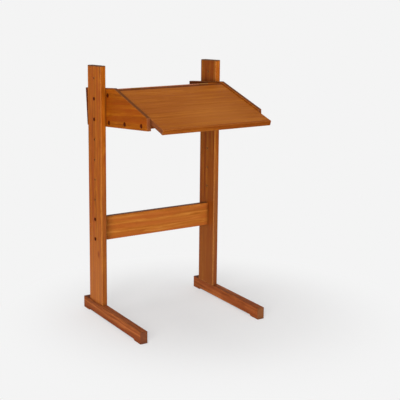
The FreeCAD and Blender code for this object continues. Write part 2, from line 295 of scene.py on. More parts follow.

# board: the way its grain runs, the way up its wide face, the pith's place beside it (mm), tones, ends,
# roughness, the share of its arrises' tone (paler from use and as painted highlight, darker on the feet), and
# its shine
BOARDS = {
    "left_post": (UP, BACK, (0, 95, 60), SOLID_TEAK, POST_ENDS, 0.40, 0.35, OILED),
    "right_post": (UP, BACK, (530, 70, 85), RUDDY_TEAK, POST_ENDS, 0.40, 0.6, OILED),
    "left_foot": (BACK, UP, (120, 60, 90), FOOT_TEAK, FOOT_ENDS, 0.42, 0.8, MATT),
    "right_foot": (BACK, UP, (770, -80, 70), FOOT_TEAK, PALE_ENDS, 0.42, 0.8, MATT),
    "crossbar": (RIGHT, UP, (330, 40, 110), BAR_TEAK, OTHER_ENDS, 0.40, 0.0, OILED),
    "left_cheek": (unit_forward, unit_up, (480, 150, 60), CHEEK_TEAK, OTHER_ENDS, 0.42, 0.25, MATT),
    "right_cheek": (unit_forward, unit_up, (950, 130, -70), CHEEK_TEAK, OTHER_ENDS, 0.42, 0.25, MATT),
    "bottom_board": (RIGHT, unit_forward, (410, 60, 90), PAINTED_SHADE_TEAK, OTHER_ENDS, 0.45, 0.0, OILED),
    "back_board": (RIGHT, unit_up, (640, 90, 80), PAINTED_SHADE_TEAK, OTHER_ENDS, 0.45, 0.0, OILED),
    "rear_ledge": (RIGHT, unit_forward, (850, 100, 40), SOLID_TEAK, OTHER_ENDS, 0.42, 0.2, MATT),
    "lid_panel": (RIGHT, lid_climb, (150, 60, 260), LID_VENEER, OTHER_ENDS, 0.42, 0.0, MATT),
    "lid_front_lipping": (RIGHT, lid_climb, (270, 60, 40), LIPPING_TEAK, OTHER_ENDS, 0.42, 0.3, MATT),
    "lid_back_lipping": (RIGHT, lid_climb, (930, 40, 60), PAINTED_SHADE_LIPPING, OTHER_ENDS, 0.42, 0.0, MATT),
    "lid_lipping_left": (RIGHT, lid_climb, (150, 60, 260), LID_VENEER, OTHER_ENDS, 0.42, 0.1, MATT),
    "lid_lipping_right": (RIGHT, lid_climb, (150, 60, 260), LID_VENEER, OTHER_ENDS, 0.42, 0.1, MATT),
}


def board_space(tree, board, grain, face_up, pith):
    """Object coordinates turned so that X runs along the board's grain and the tree's pith is the X axis."""
    low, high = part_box(board)
    turn = Matrix((grain, face_up, grain.cross(face_up)))
    middle = turn @ ((low + high) / 2)
    shift = Vector(pith) * MM - Vector((0, middle.y, middle.z))
    place = add_node(tree, "ShaderNodeTexCoord", {}).outputs["Object"]
    return add_node(
        tree, "ShaderNodeMapping", {"Rotation": turn.to_euler(), "Location": shift}, {"Vector": place}
    ).outputs["Vector"]


def stretched_noise(tree, space, along, across, detail):
    """Noise drawn out along the grain: one feature is about so many millimetres long and wide."""
    squeeze = (1 / (along * MM), 1 / (across * MM), 1 / (across * MM))
    scaled = add_node(tree, "ShaderNodeMapping", {"Scale": squeeze}, {"Vector": space})
    noise = add_node(
        tree, "ShaderNodeTexNoise", {"Scale": 1.0, "Detail": detail, "Roughness": NOISE_ROUGHNESS},
        {"Vector": scaled.outputs["Vector"]},
    )
    return noise.outputs["Fac"]


def figure(tree, space, tones):
    """Teak's figure in a board's own space: its colour, and a mask of its open pores."""
    # growth rings about the pith, which wander a few centimetres along the board
    sway = add_node(
        tree, "ShaderNodeMath", {"operation": "MULTIPLY_ADD", 1: 2 * RING_SWAY * MM, 2: -RING_SWAY * MM},
        {0: stretched_noise(tree, space, *WANDER)},
    ).outputs["Value"]
    shift = add_node(tree, "ShaderNodeCombineXYZ", {"X": 0.0}, {"Y": sway, "Z": sway})
    bent = add_node(
        tree, "ShaderNodeVectorMath", {"operation": "ADD"}, {0: space, 1: shift.outputs["Vector"]}
    ).outputs["Vector"]
    rings = add_node(
        tree, "ShaderNodeTexWave",
        {"wave_type": "RINGS", "rings_direction": "X", "wave_profile": "SAW",
         "Scale": WAVE_PERIOD / (RING_WIDTH * MM), "Distortion": 2.2, "Detail": 2.0, "Detail Scale": 0.5},
        {"Vector": bent},
    ).outputs["Fac"]

    # streaks, with fine lines and a ripple across them
    grainy = add_node(
        tree, "ShaderNodeMath", {"operation": "MULTIPLY_ADD", 1: FINE_SHARE},
        {0: stretched_noise(tree, bent, *FINE_LINES), 2: stretched_noise(tree, bent, *STREAKS)},
    ).outputs["Value"]
    ripple = add_node(
        tree, "ShaderNodeMath", {"operation": "ADD", 1: -0.5}, {0: stretched_noise(tree, bent, *MOTTLE)}
    ).outputs["Value"]
    tone = add_node(
        tree, "ShaderNodeMath", {"operation": "MULTIPLY_ADD", 1: MOTTLE_SHARE}, {0: ripple, 2: grainy}
    ).outputs["Value"]
    ringed = add_node(
        tree, "ShaderNodeMath", {"operation": "MULTIPLY_ADD", 1: RING_SHARE}, {0: rings, 2: tone}
    ).outputs["Value"]
    body = add_node(tree, "ShaderNodeValToRGB", {}, {"Fac": ringed})
    set_ramp(body, list(zip(TONE_STOPS, tones)))

    # redder stripes of heartwood between the amber ones, and the pores
    redness = add_node(
        tree, "ShaderNodeMapRange", {"From Min": HEARTWOOD_RANGE[0], "From Max": HEARTWOOD_RANGE[1]},
        {"Value": stretched_noise(tree, bent, *HEARTWOOD)},
    ).outputs["Result"]
    warmed = mixed_in(tree, body.outputs["Color"], redness, HEARTWOOD_SHARE, tones[3])
    pores = add_node(
        tree, "ShaderNodeMapRange", {"From Min": PORE_RANGE[0], "From Max": PORE_RANGE[1]},
        {"Value": stretched_noise(tree, space, *PORES)},
    ).outputs["Result"]
    return mixed_in(tree, warmed, pores, PORE_SHARE, PORE_TONE, "MULTIPLY"), pores


def end_grain(tree, grain):
    """How far the surface cuts across the fibres: 0 along the grain, 1 on a board's sawn end."""
    across = add_node(tree, "ShaderNodeMath", {"operation": "ABSOLUTE"}, {0: squareness(tree, grain)})
    return add_node(
        tree, "ShaderNodeMapRange",
        {"interpolation_type": "SMOOTHSTEP", "From Min": END_RANGE[0], "From Max": END_RANGE[1]},
        {"Value": across.outputs["Value"]},
    ).outputs["Result"]


def ends_share(tree, ends, pores):
    """How much of the end grain's tone shows: most of it, and a little less on the open pores."""
    open_part = add_node(
        tree, "ShaderNodeMath",
        {"operation": "MULTIPLY_ADD", 1: END_SHARE_ON_PORES - END_SHARE, 2: END_SHARE}, {0: pores},
    )
    return add_node(
        tree, "ShaderNodeMath", {"operation": "MULTIPLY"}, {0: open_part.outputs["Value"], 1: ends}
    ).outputs["Value"]


def bore_shade(tree):
    """How near the surface is to a post's row of holes: 1 on a bore's wall, fading out round it."""
    row = upper_bolt()
    height = reach_along(tree, UP)
    aside = add_node(
        tree, "ShaderNodeMath", {"operation": "SUBTRACT", 1: row.y}, {0: reach_along(tree, BACK)}
    ).outputs["Value"]
    lift = add_node(tree, "ShaderNodeMath", {"operation": "SUBTRACT", 1: row.z}, {0: height}).outputs["Value"]
    nearest = add_node(
        tree, "ShaderNodeMath", {"operation": "PINGPONG", 1: HOLE_PITCH * MM / 2}, {0: lift}
    ).outputs["Value"]
    offset = add_node(tree, "ShaderNodeCombineXYZ", {"Z": 0.0}, {"X": aside, "Y": nearest})
    reach = add_node(tree, "ShaderNodeVectorMath", {"operation": "LENGTH"}, {0: offset.outputs["Vector"]})
    near = add_node(
        tree, "ShaderNodeMapRange",
        {"interpolation_type": "SMOOTHSTEP", "From Min": HOLE_SHADE_RIM[1] * MM, "From Max": HOLE_SHADE_RIM[0] * MM},
        {"Value": reach.outputs["Value"]},
    ).outputs["Result"]
    in_row = add_node(
        tree, "ShaderNodeMath", {"operation": "GREATER_THAN", 1: HOLES_ABOVE * MM}, {0: height}
    ).outputs["Value"]
    return add_node(tree, "ShaderNodeMath", {"operation": "MULTIPLY"}, {0: near, 1: in_row}).outputs["Value"]


def floor_lit_below(tree, base):
    """The base colour, paler on the broad faces towards the floor: painted light thrown up
    from the floor."""
    low = add_node(
        tree, "ShaderNodeMapRange",
        {"interpolation_type": "SMOOTHSTEP", "From Min": FLOOR_LIGHT_HEIGHTS[0], "From Max": FLOOR_LIGHT_HEIGHTS[1]},
        {"Value": reach_along(tree, UP)},
    ).outputs["Result"]
    broad = add_node(tree, "ShaderNodeMath", {"operation": "ABSOLUTE"}, {0: squareness(tree, RIGHT)})
    floor_lit = add_node(tree, "ShaderNodeMath", {"operation": "MULTIPLY"}, {0: low, 1: broad.outputs["Value"]})
    return mixed_in(tree, base, floor_lit.outputs["Value"], FLOOR_LIGHT_SHARE, FLOOR_LIGHT_TONE)


def front_shaded(tree, base, share):
    """The base colour, browner towards the floor on the posts' narrow front faces: painted shade below the
    desk.
    """
    low = add_node(
        tree, "ShaderNodeMapRange", {"From Min": FRONT_SHADE_HEIGHTS[0], "From Max": FRONT_SHADE_HEIGHTS[1]},
        {"Value": reach_along(tree, UP)},
    ).outputs["Result"]
    painted_light_mask = add_node(
        tree, "ShaderNodeMath", {"operation": "MULTIPLY"}, {0: low, 1: facing_way(tree, -BACK)}
    ).outputs["Value"]
    return mixed_in(tree, base, painted_light_mask, share, FRONT_SHADE_TONE)


def lid_highlighted(tree, base):
    """The base colour, a little paler near the middle of the writing surface's front: a painted soft
    highlight.
    """
    painted_light_mask = add_node(
        tree, "ShaderNodeMapRange",
        {"interpolation_type": "SMOOTHSTEP", "From Min": LID_HIGHLIGHT_RANGE[0], "From Max": LID_HIGHLIGHT_RANGE[1]},
        {"Value": distance_from(tree, LID_HIGHLIGHT_PLACE)},
    ).outputs["Result"]
    return mixed_in(tree, base, painted_light_mask, LID_HIGHLIGHT_SHARE, LID_HIGHLIGHT_TONE)


def knotted(tree, base):
    """The base colour with one small red-brown knot on the left post's outer face, low down."""
    low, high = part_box("left_post")
    heart = add_node(
        tree, "ShaderNodeMapRange",
        {"interpolation_type": "SMOOTHSTEP", "From Min": KNOT_RADII[0] * MM, "From Max": KNOT_RADII[1] * MM},
        {"Value": distance_from(tree, (low.x, *KNOT_PLACE), KNOT_SQUEEZE)},
    ).outputs["Result"]
    return mixed_in(tree, base, heart, KNOT_SHARE, KNOT_TONE)


def soaked_top(tree, post, base):
    """The base colour, browned over the top few millimetres of a post, where oil soaks down its end grain."""
    low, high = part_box(post)
    top = Vector((0, low.y, high.z)).dot(post_top_up)
    soaked = add_node(
        tree, "ShaderNodeMapRange",
        {"From Min": top - SOAKED_DEPTHS[0] * MM, "From Max": top - SOAKED_DEPTHS[1] * MM},
        {"Value": reach_along(tree, post_top_up)},
    ).outputs["Result"]
    return mixed_in(tree, base, soaked, SOAKED_SHARE, POST_ENDS)


def cheek_painted_shade(tree, inner_face):
    """Where a cheek gets painted shade: its inner face below the lid and behind the lid's back edge, and
    its wing behind the post."""
    back_edge = Vector((0, *LID_BACK_EDGE)) * MM
    level = back_edge.dot(lid_up)
    reach = reach_along(tree, BACK)
    below = add_node(
        tree, "ShaderNodeMapRange",
        {"From Min": level - LID_SHADE_DEPTHS[0] * MM, "From Max": level - LID_SHADE_DEPTHS[1] * MM},
        {"Value": reach_along(tree, lid_up)},
    ).outputs["Result"]
    behind = add_node(
        tree, "ShaderNodeMapRange",
        {"From Min": back_edge.y, "From Max": back_edge.y + REAR_SHADE_REACH * MM}, {"Value": reach},
    ).outputs["Result"]
    wing = add_node(
        tree, "ShaderNodeMapRange",
        {"From Min": POST_REAR * MM, "From Max": (POST_REAR + WING_SHADE_REACH) * MM}, {"Value": reach},
    ).outputs["Result"]
    inside = add_node(tree, "ShaderNodeMath", {"operation": "MAXIMUM"}, {0: below, 1: behind})
    inner = add_node(
        tree, "ShaderNodeMath", {"operation": "MULTIPLY"}, {0: inner_face, 1: inside.outputs["Value"]}
    )
    return add_node(
        tree, "ShaderNodeMath", {"operation": "MAXIMUM"}, {0: inner.outputs["Value"], 1: wing}
    ).outputs["Value"]


def foot_top_painted_shade(tree, top_face):
    """Where a foot's top gets painted shade: its short tail behind the post, and a little along the rest."""
    behind = add_node(
        tree, "ShaderNodeMapRange",
        {"From Min": (POST_REAR + FOOT_SHADE_REACH[0]) * MM, "From Max": (POST_REAR + FOOT_SHADE_REACH[1]) * MM,
         "To Min": FOOT_TOP_SHADE_SHARE},
        {"Value": reach_along(tree, BACK)},
    ).outputs["Result"]
    return add_node(
        tree, "ShaderNodeMath", {"operation": "MULTIPLY"}, {0: top_face, 1: behind}
    ).outputs["Value"]


def marks_and_painted_light(tree, board, base):
    """The base colour with this board's knot and with the painted light and shade laid over it."""
    if "post" in board:
        # painted shade in and round the posts' holes, over their darker end grain
        base = mixed_in(tree, base, bore_shade(tree), HOLE_SHADE_SHARE, HOLE_SHADE_TONE, "MULTIPLY")
        # painted floor light low on the broad faces
        base = floor_lit_below(tree, base)
        # painted shade low on the front faces
        base = front_shaded(tree, base, FRONT_SHADE_SHARE[board])
    if board == "left_post":
        base = knotted(tree, base)
    if board == "lid_panel":
        # painted highlight near the lid's front middle
        base = lid_highlighted(tree, base)
    if "cheek" in board or board == "crossbar":
        # painted shade: darker on the edges that look up
        base = mixed_in(tree, base, facing_way(tree, unit_up), UPWARD_SHADE_SHARE, UPWARD_SHADE_TONE)
    # painted shade on faces under and behind other parts, and on the right post's inner side
    for direction, depth in PAINTED_SHADE_FACES.get(board, ()):
        painted_shade = facing_way(tree, direction)
        if "cheek" in board:
            painted_shade = cheek_painted_shade(tree, painted_shade)
        if "foot" in board:
            painted_shade = foot_top_painted_shade(tree, painted_shade)
        base = mixed_in(tree, base, painted_shade, depth, PAINTED_SHADE_TONE, "MULTIPLY")
    return base


def rounded_arrises(tree, radius):
    """Arrises rounded over by so many millimetres: the turned normal, and how near the surface is to one."""
    eased = add_node(tree, "ShaderNodeBevel", {"Radius": radius * MM}).outputs["Normal"]
    flat = add_node(tree, "ShaderNodeNewGeometry", {}).outputs["Normal"]
    turned_by = add_node(tree, "ShaderNodeVectorMath", {"operation": "DOT_PRODUCT"}, {0: eased, 1: flat})
    arris_mask = add_node(
        tree, "ShaderNodeMapRange", {"From Min": ARRIS_RANGE[0], "From Max": ARRIS_RANGE[1]},
        {"Value": turned_by.outputs["Value"]},
    )
    return eased, arris_mask.outputs["Result"]


def corner_shade(tree):
    """How much painted shade lies in corners and round the fittings: 0 on open faces, up to 1 where most shut
    in.
    """
    occlusion = add_node(tree, "ShaderNodeAmbientOcclusion", {"samples": 8, "Distance": CORNER_SHADE_REACH * MM})
    return add_node(
        tree, "ShaderNodeMapRange", {"From Min": CORNER_SHADE_RANGE[0], "From Max": CORNER_SHADE_RANGE[1]},
        {"Value": occlusion.outputs["AO"]},
    ).outputs["Result"]


def teak(board, grain, face_up, pith, tones, ends_tone, roughness, arris_share, shine):
    """Oiled teak, planed and finished by rubbing: a satin skin over golden-brown wood with drawn-out amber
    and reddish streaks, narrow growth rings and short open pores. Sawn ends and the posts' holes drink more
    oil and turn dark; painted shade darkens holes, corners and faces under other parts further.
    Arrises turn pale, partly from use and partly as a painted highlight, and on the feet darker."""
    material = new_material("oiled_teak_" + board)
    tree = material.node_tree
    finished, pores = figure(tree, board_space(tree, board, grain, face_up, pith), tones)
    ends = end_grain(tree, grain)
    finished = mixed_in(tree, finished, ends_share(tree, ends, pores), 1.0, ends_tone)
    finished = marks_and_painted_light(tree, board, finished)
    eased, arris_mask = rounded_arrises(tree, POST_EDGE if "post" in board else EASED_EDGE)
    # arrises paler, partly from use and partly a painted highlight; darker on the feet
    finished = mixed_in(tree, finished, arris_mask, arris_share, DARK_FOOT_ARRIS if "foot" in board else ARRIS_WEAR_AND_HIGHLIGHT)
    if "post" in board:
        finished = soaked_top(tree, board, finished)
    # painted shade in corners and round the fittings
    finished = mixed_in(tree, finished, corner_shade(tree), CORNER_SHADE_SHARE, CORNER_SHADE_TONE, "MULTIPLY")

    # pores and ends are duller than the planed skin, and the pores are sunk into it
    dull = add_node(tree, "ShaderNodeMath", {"operation": "MAXIMUM"}, {0: pores, 1: ends}).outputs["Value"]
    sheen = add_node(
        tree, "ShaderNodeMapRange", {"To Min": roughness, "To Max": roughness + PORES_ROUGHER},
        {"Value": dull},
    )
    relief = add_node(tree, "ShaderNodeMath", {"operation": "MULTIPLY_ADD", 1: -1.0, 2: 1.0}, {0: pores})
    bump = add_node(
        tree, "ShaderNodeBump", {"Strength": 0.35, "Distance": PORE_DEPTH * MM},
        {"Height": relief.outputs["Value"], "Normal": eased},
    )
    shader = add_node(
        tree, "ShaderNodeBsdfPrincipled", {"IOR": 1.45, "Specular IOR Level": shine, "Metallic": 0.0},
        {"Base Color": finished, "Roughness": sheen.outputs["Result"], "Normal": bump.outputs["Normal"]},
    )
    add_node(tree, "ShaderNodeOutputMaterial", {}, {"Surface": shader.outputs["BSDF"]})
    return material


# ---------------------------------------------------------------- metal

# Where in the noise the dulled tone ends and the bright one is full, how much rougher the dulled parts
# are, and how deep the texture is (mm)
DULLED_RANGE = (0.35, 0.65)
ROUGHER_RANGE = (0.3, 0.7)
DULLED_ROUGHER = 0.12
METAL_RELIEF = 0.05


def metal(name, tone, dulled, roughness, metallic, speck, shine=0.5):
    """Worked metal: a fine scratch or pickling texture over an even colour, duller where it is worn. The
    specks (mm) are drawn some ten times as coarse as real ones, so that they show."""
    material = new_material(name)
    tree = material.node_tree
    place = add_node(tree, "ShaderNodeTexCoord", {}).outputs["Object"]
    specks = add_node(
        tree, "ShaderNodeTexNoise", {"Scale": 1 / (speck * MM), "Detail": 3.0}, {"Vector": place}
    ).outputs["Fac"]
    tint = add_node(tree, "ShaderNodeValToRGB", {}, {"Fac": specks})
    set_ramp(tint, list(zip(DULLED_RANGE, (dulled, tone))))
    rough = add_node(
        tree, "ShaderNodeMapRange",
        {"From Min": ROUGHER_RANGE[0], "From Max": ROUGHER_RANGE[1],
         "To Min": roughness + DULLED_ROUGHER, "To Max": roughness},
        {"Value": specks},
    )
    bump = add_node(
        tree, "ShaderNodeBump", {"Strength": 0.2, "Distance": METAL_RELIEF * MM}, {"Height": specks}
    )
    shader = add_node(
        tree, "ShaderNodeBsdfPrincipled", {"Metallic": metallic, "Specular IOR Level": shine},
        {"Base Color": tint.outputs["Color"], "Roughness": rough.outputs["Result"],
         "Normal": bump.outputs["Normal"]},
    )
    add_node(tree, "ShaderNodeOutputMaterial", {}, {"Surface": shader.outputs["BSDF"]})
    return material


# Steel browned in a hot bath, an oxide skin: near-black brown with a faint warm sheen
browned_steel = metal(
    "browned_steel", "541A02", "3A0E00", roughness=0.52, metallic=0.15, speck=1.2, shine=0.03
)
# Turned steel with a zinc coat: pale grey and softly mottled
zinc_steel = metal("zinc_plated_steel", "B9B8B2", "9A9A96", roughness=0.34, metallic=1.0, speck=2.0)
# Drawn brass left to tarnish: dull gold with brown bloom
dull_brass = metal("tarnished_drawn_brass", "A07038", "7A5228", roughness=0.42, metallic=1.0, speck=1.5)
# Turned brass screw heads, rubbed a little brighter than the leaves
screw_brass = metal("turned_brass", "C09A58", "96703A", roughness=0.36, metallic=1.0, speck=1.0)


def paint(node_name, material):
    """Gives a CAD node one material all over."""
    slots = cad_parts[node_name].data.materials
    if not slots:
        slots.append(material)
    for index in range(len(slots)):
        slots[index] = material


for board, nature in BOARDS.items():
    paint(board, teak(board, *nature))
for node_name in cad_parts:
    if node_name.startswith("hinge"):
        paint(node_name, dull_brass)
    elif "bolts" in node_name or "screws" in node_name:
        paint(node_name, browned_steel)
    elif "nuts" in node_name or "bushes" in node_name:
        paint(node_name, zinc_steel)


# ---------------------------------------------------------------- fittings

# The fittings' own measures (mm): HEAD and SHANK are radii, and a SLOT is a width and a depth
BOLT_SHANK = 4.0
BOLT_LENGTH = 40.0
SOCKET_ACROSS_FLATS = 5.0
SOCKET_FLOOR = 2.1

CUP_RADIUS = 10.5
CUP_HEIGHT = 4.0
CUP_BORE = 3.1
CHEEK_SCREW_HEAD = 5.6
CHEEK_SCREW_SHANK = 2.5
CHEEK_SCREW_LENGTH = 46.0
CHEEK_SCREW_SLOT = (1.4, 1.2)

LEAF_SCREW_HEAD = 2.7
LEAF_SCREW_SHANK = 1.4
LEAF_SCREW_LENGTH = 12.0
LEAF_SCREW_PROUD = 0.08
LEAF_SCREW_SLOT = (0.7, 0.5)

NUT_RADIUS = 6.9
NUT_LENGTH = 20.0
NUT_SLOT = (1.6, 1.6)

# Where the rows of screws are (mm from the upper bolt): in the cheeks, and in the faces of the hinge
# leaves on either side of the joint
SCREWS_FORWARD = 92.0
UPPER_SCREW_HEIGHT = 16.0
BOTTOM_SCREW_HEIGHT = -114.0
BOTTOM_SCREW_PITCH = 160.0
BOTTOM_SCREWS = 3
LEAF_FORWARD = 152.0
LEAF_GAP = 0.2
LEAF_SCREW_HEIGHT = 33.5
LEAF_SCREW_PITCH = 17.0
LEAF_SCREWS = 3

# Points round a fitting, a slot cutter's length in head radii, and the angle from which an edge is sharp
ROUND_STEPS = 48
BLADE_REACH = 2.4
SHARP_ABOVE = math.radians(32)


def ring_point(radius, height, corners, turn):
    """A point of a ring about Z: a circle, or a polygon whose flats lie at the radius."""
    reach = radius
    if corners:
        half = math.pi / corners
        reach = radius / math.cos((turn % (2 * half)) - half)
    return Vector((reach * math.cos(turn), reach * math.sin(turn), height)) * MM


def made_of(shape, name):
    """An object in the scene made from a bmesh, which is used up."""
    mesh = bpy.data.meshes.new(name)
    shape.to_mesh(mesh)
    shape.free()
    thing = bpy.data.objects.new(name, mesh)
    bpy.context.scene.collection.objects.link(thing)
    return thing


def turned(name, rings):
    """A closed shape turned about Z from (radius, height) rings, capped at both ends. A third number
    gives a ring that many corners."""
    shape = bmesh.new()
    loops = []
    turns = [2 * math.pi * step / ROUND_STEPS for step in range(ROUND_STEPS)]
    for radius, height, *polygon in rings:
        corners = polygon[0] if polygon else 0
        loops.append([shape.verts.new(ring_point(radius, height, corners, turn)) for turn in turns])
    for lower, upper in zip(loops, loops[1:]):
        for step in range(ROUND_STEPS):
            after = (step + 1) % ROUND_STEPS
            shape.faces.new((lower[step], lower[after], upper[after], upper[step]))
    shape.faces.new(reversed(loops[0]))
    shape.faces.new(loops[-1])
    bmesh.ops.recalc_face_normals(shape, faces=shape.faces)
    return made_of(shape, name)


def finished_mesh(thing):
    """The thing's mesh with its modifiers carried out."""
    evaluated = thing.evaluated_get(bpy.context.evaluated_depsgraph_get())
    return bpy.data.meshes.new_from_object(evaluated)


def slotted(thing, head_radius, top, slot):
    """Cuts a straight screwdriver slot of this (width, depth) across the thing's top."""
    width, depth = slot
    blade = bmesh.new()
    bmesh.ops.create_cube(blade, size=1.0)
    bmesh.ops.scale(blade, vec=Vector((BLADE_REACH * head_radius, width, 2 * depth)) * MM, verts=blade.verts)
    bmesh.ops.translate(blade, vec=Vector((0, 0, top * MM)), verts=blade.verts)
    cutter = made_of(blade, "slot_cutter")
    cut = thing.modifiers.new("slot", "BOOLEAN")
    cut.operation = "DIFFERENCE"
    cut.object = cutter
    cut.solver = "EXACT"
    thing.data = finished_mesh(thing)
    thing.modifiers.clear()
    bpy.data.objects.remove(cutter)
    return thing


def furniture_bolt():
    """A furniture bolt standing on z = 0: wide shallow dome, hexagon socket, plain shank below."""
    rim = BOLT_HEAD_HEIGHT - 0.9
    socket = SOCKET_ACROSS_FLATS / 2
    return turned("bolt_template", [
        (BOLT_SHANK, -BOLT_LENGTH),
        (BOLT_SHANK, 0),
        (BOLT_HEAD_RADIUS, 0),
        (BOLT_HEAD_RADIUS, rim - 0.5),
        (BOLT_HEAD_RADIUS - 0.25, rim),
        (BOLT_HEAD_RADIUS - 0.9, rim + 0.35),
        (BOLT_HEAD_RADIUS * 0.66, rim + 0.68),
        (socket * 1.35, BOLT_HEAD_HEIGHT - 0.02),
        (socket * 1.18, BOLT_HEAD_HEIGHT - 0.1),
        (socket, BOLT_HEAD_HEIGHT - 0.35, 6),
        (socket, BOLT_HEAD_HEIGHT - SOCKET_FLOOR, 6),
    ])


def cup_washer():
    """A pressed cup washer: rolled outer rim, domed shoulder and a countersunk seat."""
    return turned("cup_template", [
        (CUP_BORE, 0.0),
        (CUP_RADIUS - 0.4, 0.0),
        (CUP_RADIUS, 0.35),
        (CUP_RADIUS - 0.15, 0.85),
        (CUP_RADIUS - 0.9, 1.3),
        (CUP_RADIUS - 2.0, 2.2),
        (CUP_RADIUS - 3.2, 2.75),
        (CHEEK_SCREW_HEAD + 0.9, CUP_HEIGHT - 0.1),
        (CHEEK_SCREW_HEAD + 0.35, CUP_HEIGHT - 0.25),
        (CUP_BORE, 1.0),
    ])


def cheek_screw():
    """A countersunk screw with a slightly domed, slotted head."""
    screw = turned("screw_template", [
        (0.4, -CHEEK_SCREW_LENGTH),
        (CHEEK_SCREW_SHANK, -CHEEK_SCREW_LENGTH + 5),
        (CHEEK_SCREW_SHANK, 0.7),
        (CHEEK_SCREW_HEAD, CUP_HEIGHT - 0.5),
        (CHEEK_SCREW_HEAD - 0.25, CUP_HEIGHT - 0.2),
        (CHEEK_SCREW_HEAD * 0.6, CUP_HEIGHT - 0.02),
        (CHEEK_SCREW_HEAD * 0.2, CUP_HEIGHT),
    ])
    return slotted(screw, CHEEK_SCREW_HEAD, CUP_HEIGHT, CHEEK_SCREW_SLOT)


def leaf_screw():
    """A small countersunk brass screw whose slotted head lies flush in a hinge leaf at z = 0."""
    screw = turned("leaf_screw_template", [
        (0.3, -LEAF_SCREW_LENGTH),
        (LEAF_SCREW_SHANK, 3 - LEAF_SCREW_LENGTH),
        (LEAF_SCREW_SHANK, -1.3),
        (LEAF_SCREW_HEAD, 0),
        (LEAF_SCREW_HEAD, LEAF_SCREW_PROUD / 2),
        (LEAF_SCREW_HEAD - 0.15, LEAF_SCREW_PROUD),
    ])
    return slotted(screw, LEAF_SCREW_HEAD, LEAF_SCREW_PROUD, LEAF_SCREW_SLOT)


def barrel_nut():
    """A cross dowel with a slightly eased, slotted end at z = 0, which turns its thread towards the bolt."""
    nut = turned("nut_template", [(NUT_RADIUS, -NUT_LENGTH), (NUT_RADIUS, -0.5), (NUT_RADIUS - 0.5, 0)])
    return slotted(nut, NUT_RADIUS, 0, NUT_SLOT)


def row_tree():
    """Geometry nodes that set a row of one fitting: so many, from a start, a step apart, all turned alike."""
    tree = bpy.data.node_groups.new("fitting_row", "GeometryNodeTree")
    tree.interface.new_socket("Geometry", in_out="OUTPUT", socket_type="NodeSocketGeometry")
    for name, kind in (
        ("Fitting", "NodeSocketObject"),
        ("Count", "NodeSocketInt"),
        ("Start", "NodeSocketVector"),
        ("Step", "NodeSocketVector"),
        ("Turn", "NodeSocketVector"),
        ("Finish", "NodeSocketMaterial"),
    ):
        tree.interface.new_socket(name, in_out="INPUT", socket_type=kind)
    given = add_node(tree, "NodeGroupInput", {}).outputs
    line = add_node(
        tree, "GeometryNodeMeshLine", {"mode": "OFFSET", "count_mode": "TOTAL"},
        {"Count": given["Count"], "Start Location": given["Start"], "Offset": given["Step"]},
    ).outputs["Mesh"]
    fitting = add_node(
        tree, "GeometryNodeObjectInfo", {"transform_space": "ORIGINAL"}, {"Object": given["Fitting"]}
    ).outputs["Geometry"]
    turn = add_node(tree, "FunctionNodeEulerToRotation", {}, {"Euler": given["Turn"]}).outputs["Rotation"]
    placed = add_node(
        tree, "GeometryNodeInstanceOnPoints", {}, {"Points": line, "Instance": fitting, "Rotation": turn}
    )
    real = add_node(tree, "GeometryNodeRealizeInstances", {}, {"Geometry": placed.outputs["Instances"]})
    done = add_node(
        tree, "GeometryNodeSetMaterial", {},
        {"Geometry": real.outputs["Geometry"], "Material": given["Finish"]},
    )
    add_node(tree, "NodeGroupOutput", {}, {0: done.outputs["Geometry"]})
    return tree


def set_row(fitting, count, start, step, facing, finish):
    """The mesh of one row of fittings whose heads face the given way."""
    holder = bpy.data.objects.new("row_holder", bpy.data.meshes.new("row_holder"))
    bpy.context.scene.collection.objects.link(holder)
    modifier = holder.modifiers.new("row", "NODES")
    modifier.node_group = rows
    values = {
        "Fitting": fitting,
        "Count": count,
        "Start": start,
        "Step": step,
        "Turn": Vector(facing.to_track_quat("Z", "Y").to_euler()),
        "Finish": finish,
    }
    for item in rows.interface.items_tree:
        if item.in_out == "INPUT":
            modifier[item.identifier] = values[item.name]
    mesh = finished_mesh(holder)
    bpy.data.objects.remove(holder)
    return mesh


def piece_from(name, meshes, body, slot, *nodes):
    """One piece from several meshes, riding on a body in the place of CAD nodes."""
    shape = bmesh.new()
    for mesh in meshes:
        shape.from_mesh(mesh)
    thing = made_of(shape, name)
    for material in meshes[0].materials:
        thing.data.materials.append(material)
    thing.data.shade_smooth()
    thing.data.set_sharp_from_angle(angle=SHARP_ABOVE)
    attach(thing, body)
    if nodes:
        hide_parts(*nodes)
    return thing


def on_unit(forward, up):
    """A point on the writing unit's sides, measured from the upper bolt along the tilted unit."""
    return upper_bolt() + (unit_forward * forward + unit_up * up) * MM


rows = row_tree()
bolt_template = furniture_bolt()
cup_template = cup_washer()
screw_template = cheek_screw()
nut_template = barrel_nut()
leaf_screw_template = leaf_screw()


def bolt_pair(node_name, side):
    """The two bolts of one CAD node, heads outwards on the post's face."""
    low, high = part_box(node_name)
    face = low.x if side < 0 else high.x
    seat = face - side * BOLT_HEAD_HEIGHT * MM
    start = Vector((seat, (low.y + high.y) / 2, low.z + BOLT_HEAD_RADIUS * MM))
    step = Vector((0, 0, high.z - low.z - 2 * BOLT_HEAD_RADIUS * MM))
    return set_row(bolt_template, 2, start, step, RIGHT * side, browned_steel)


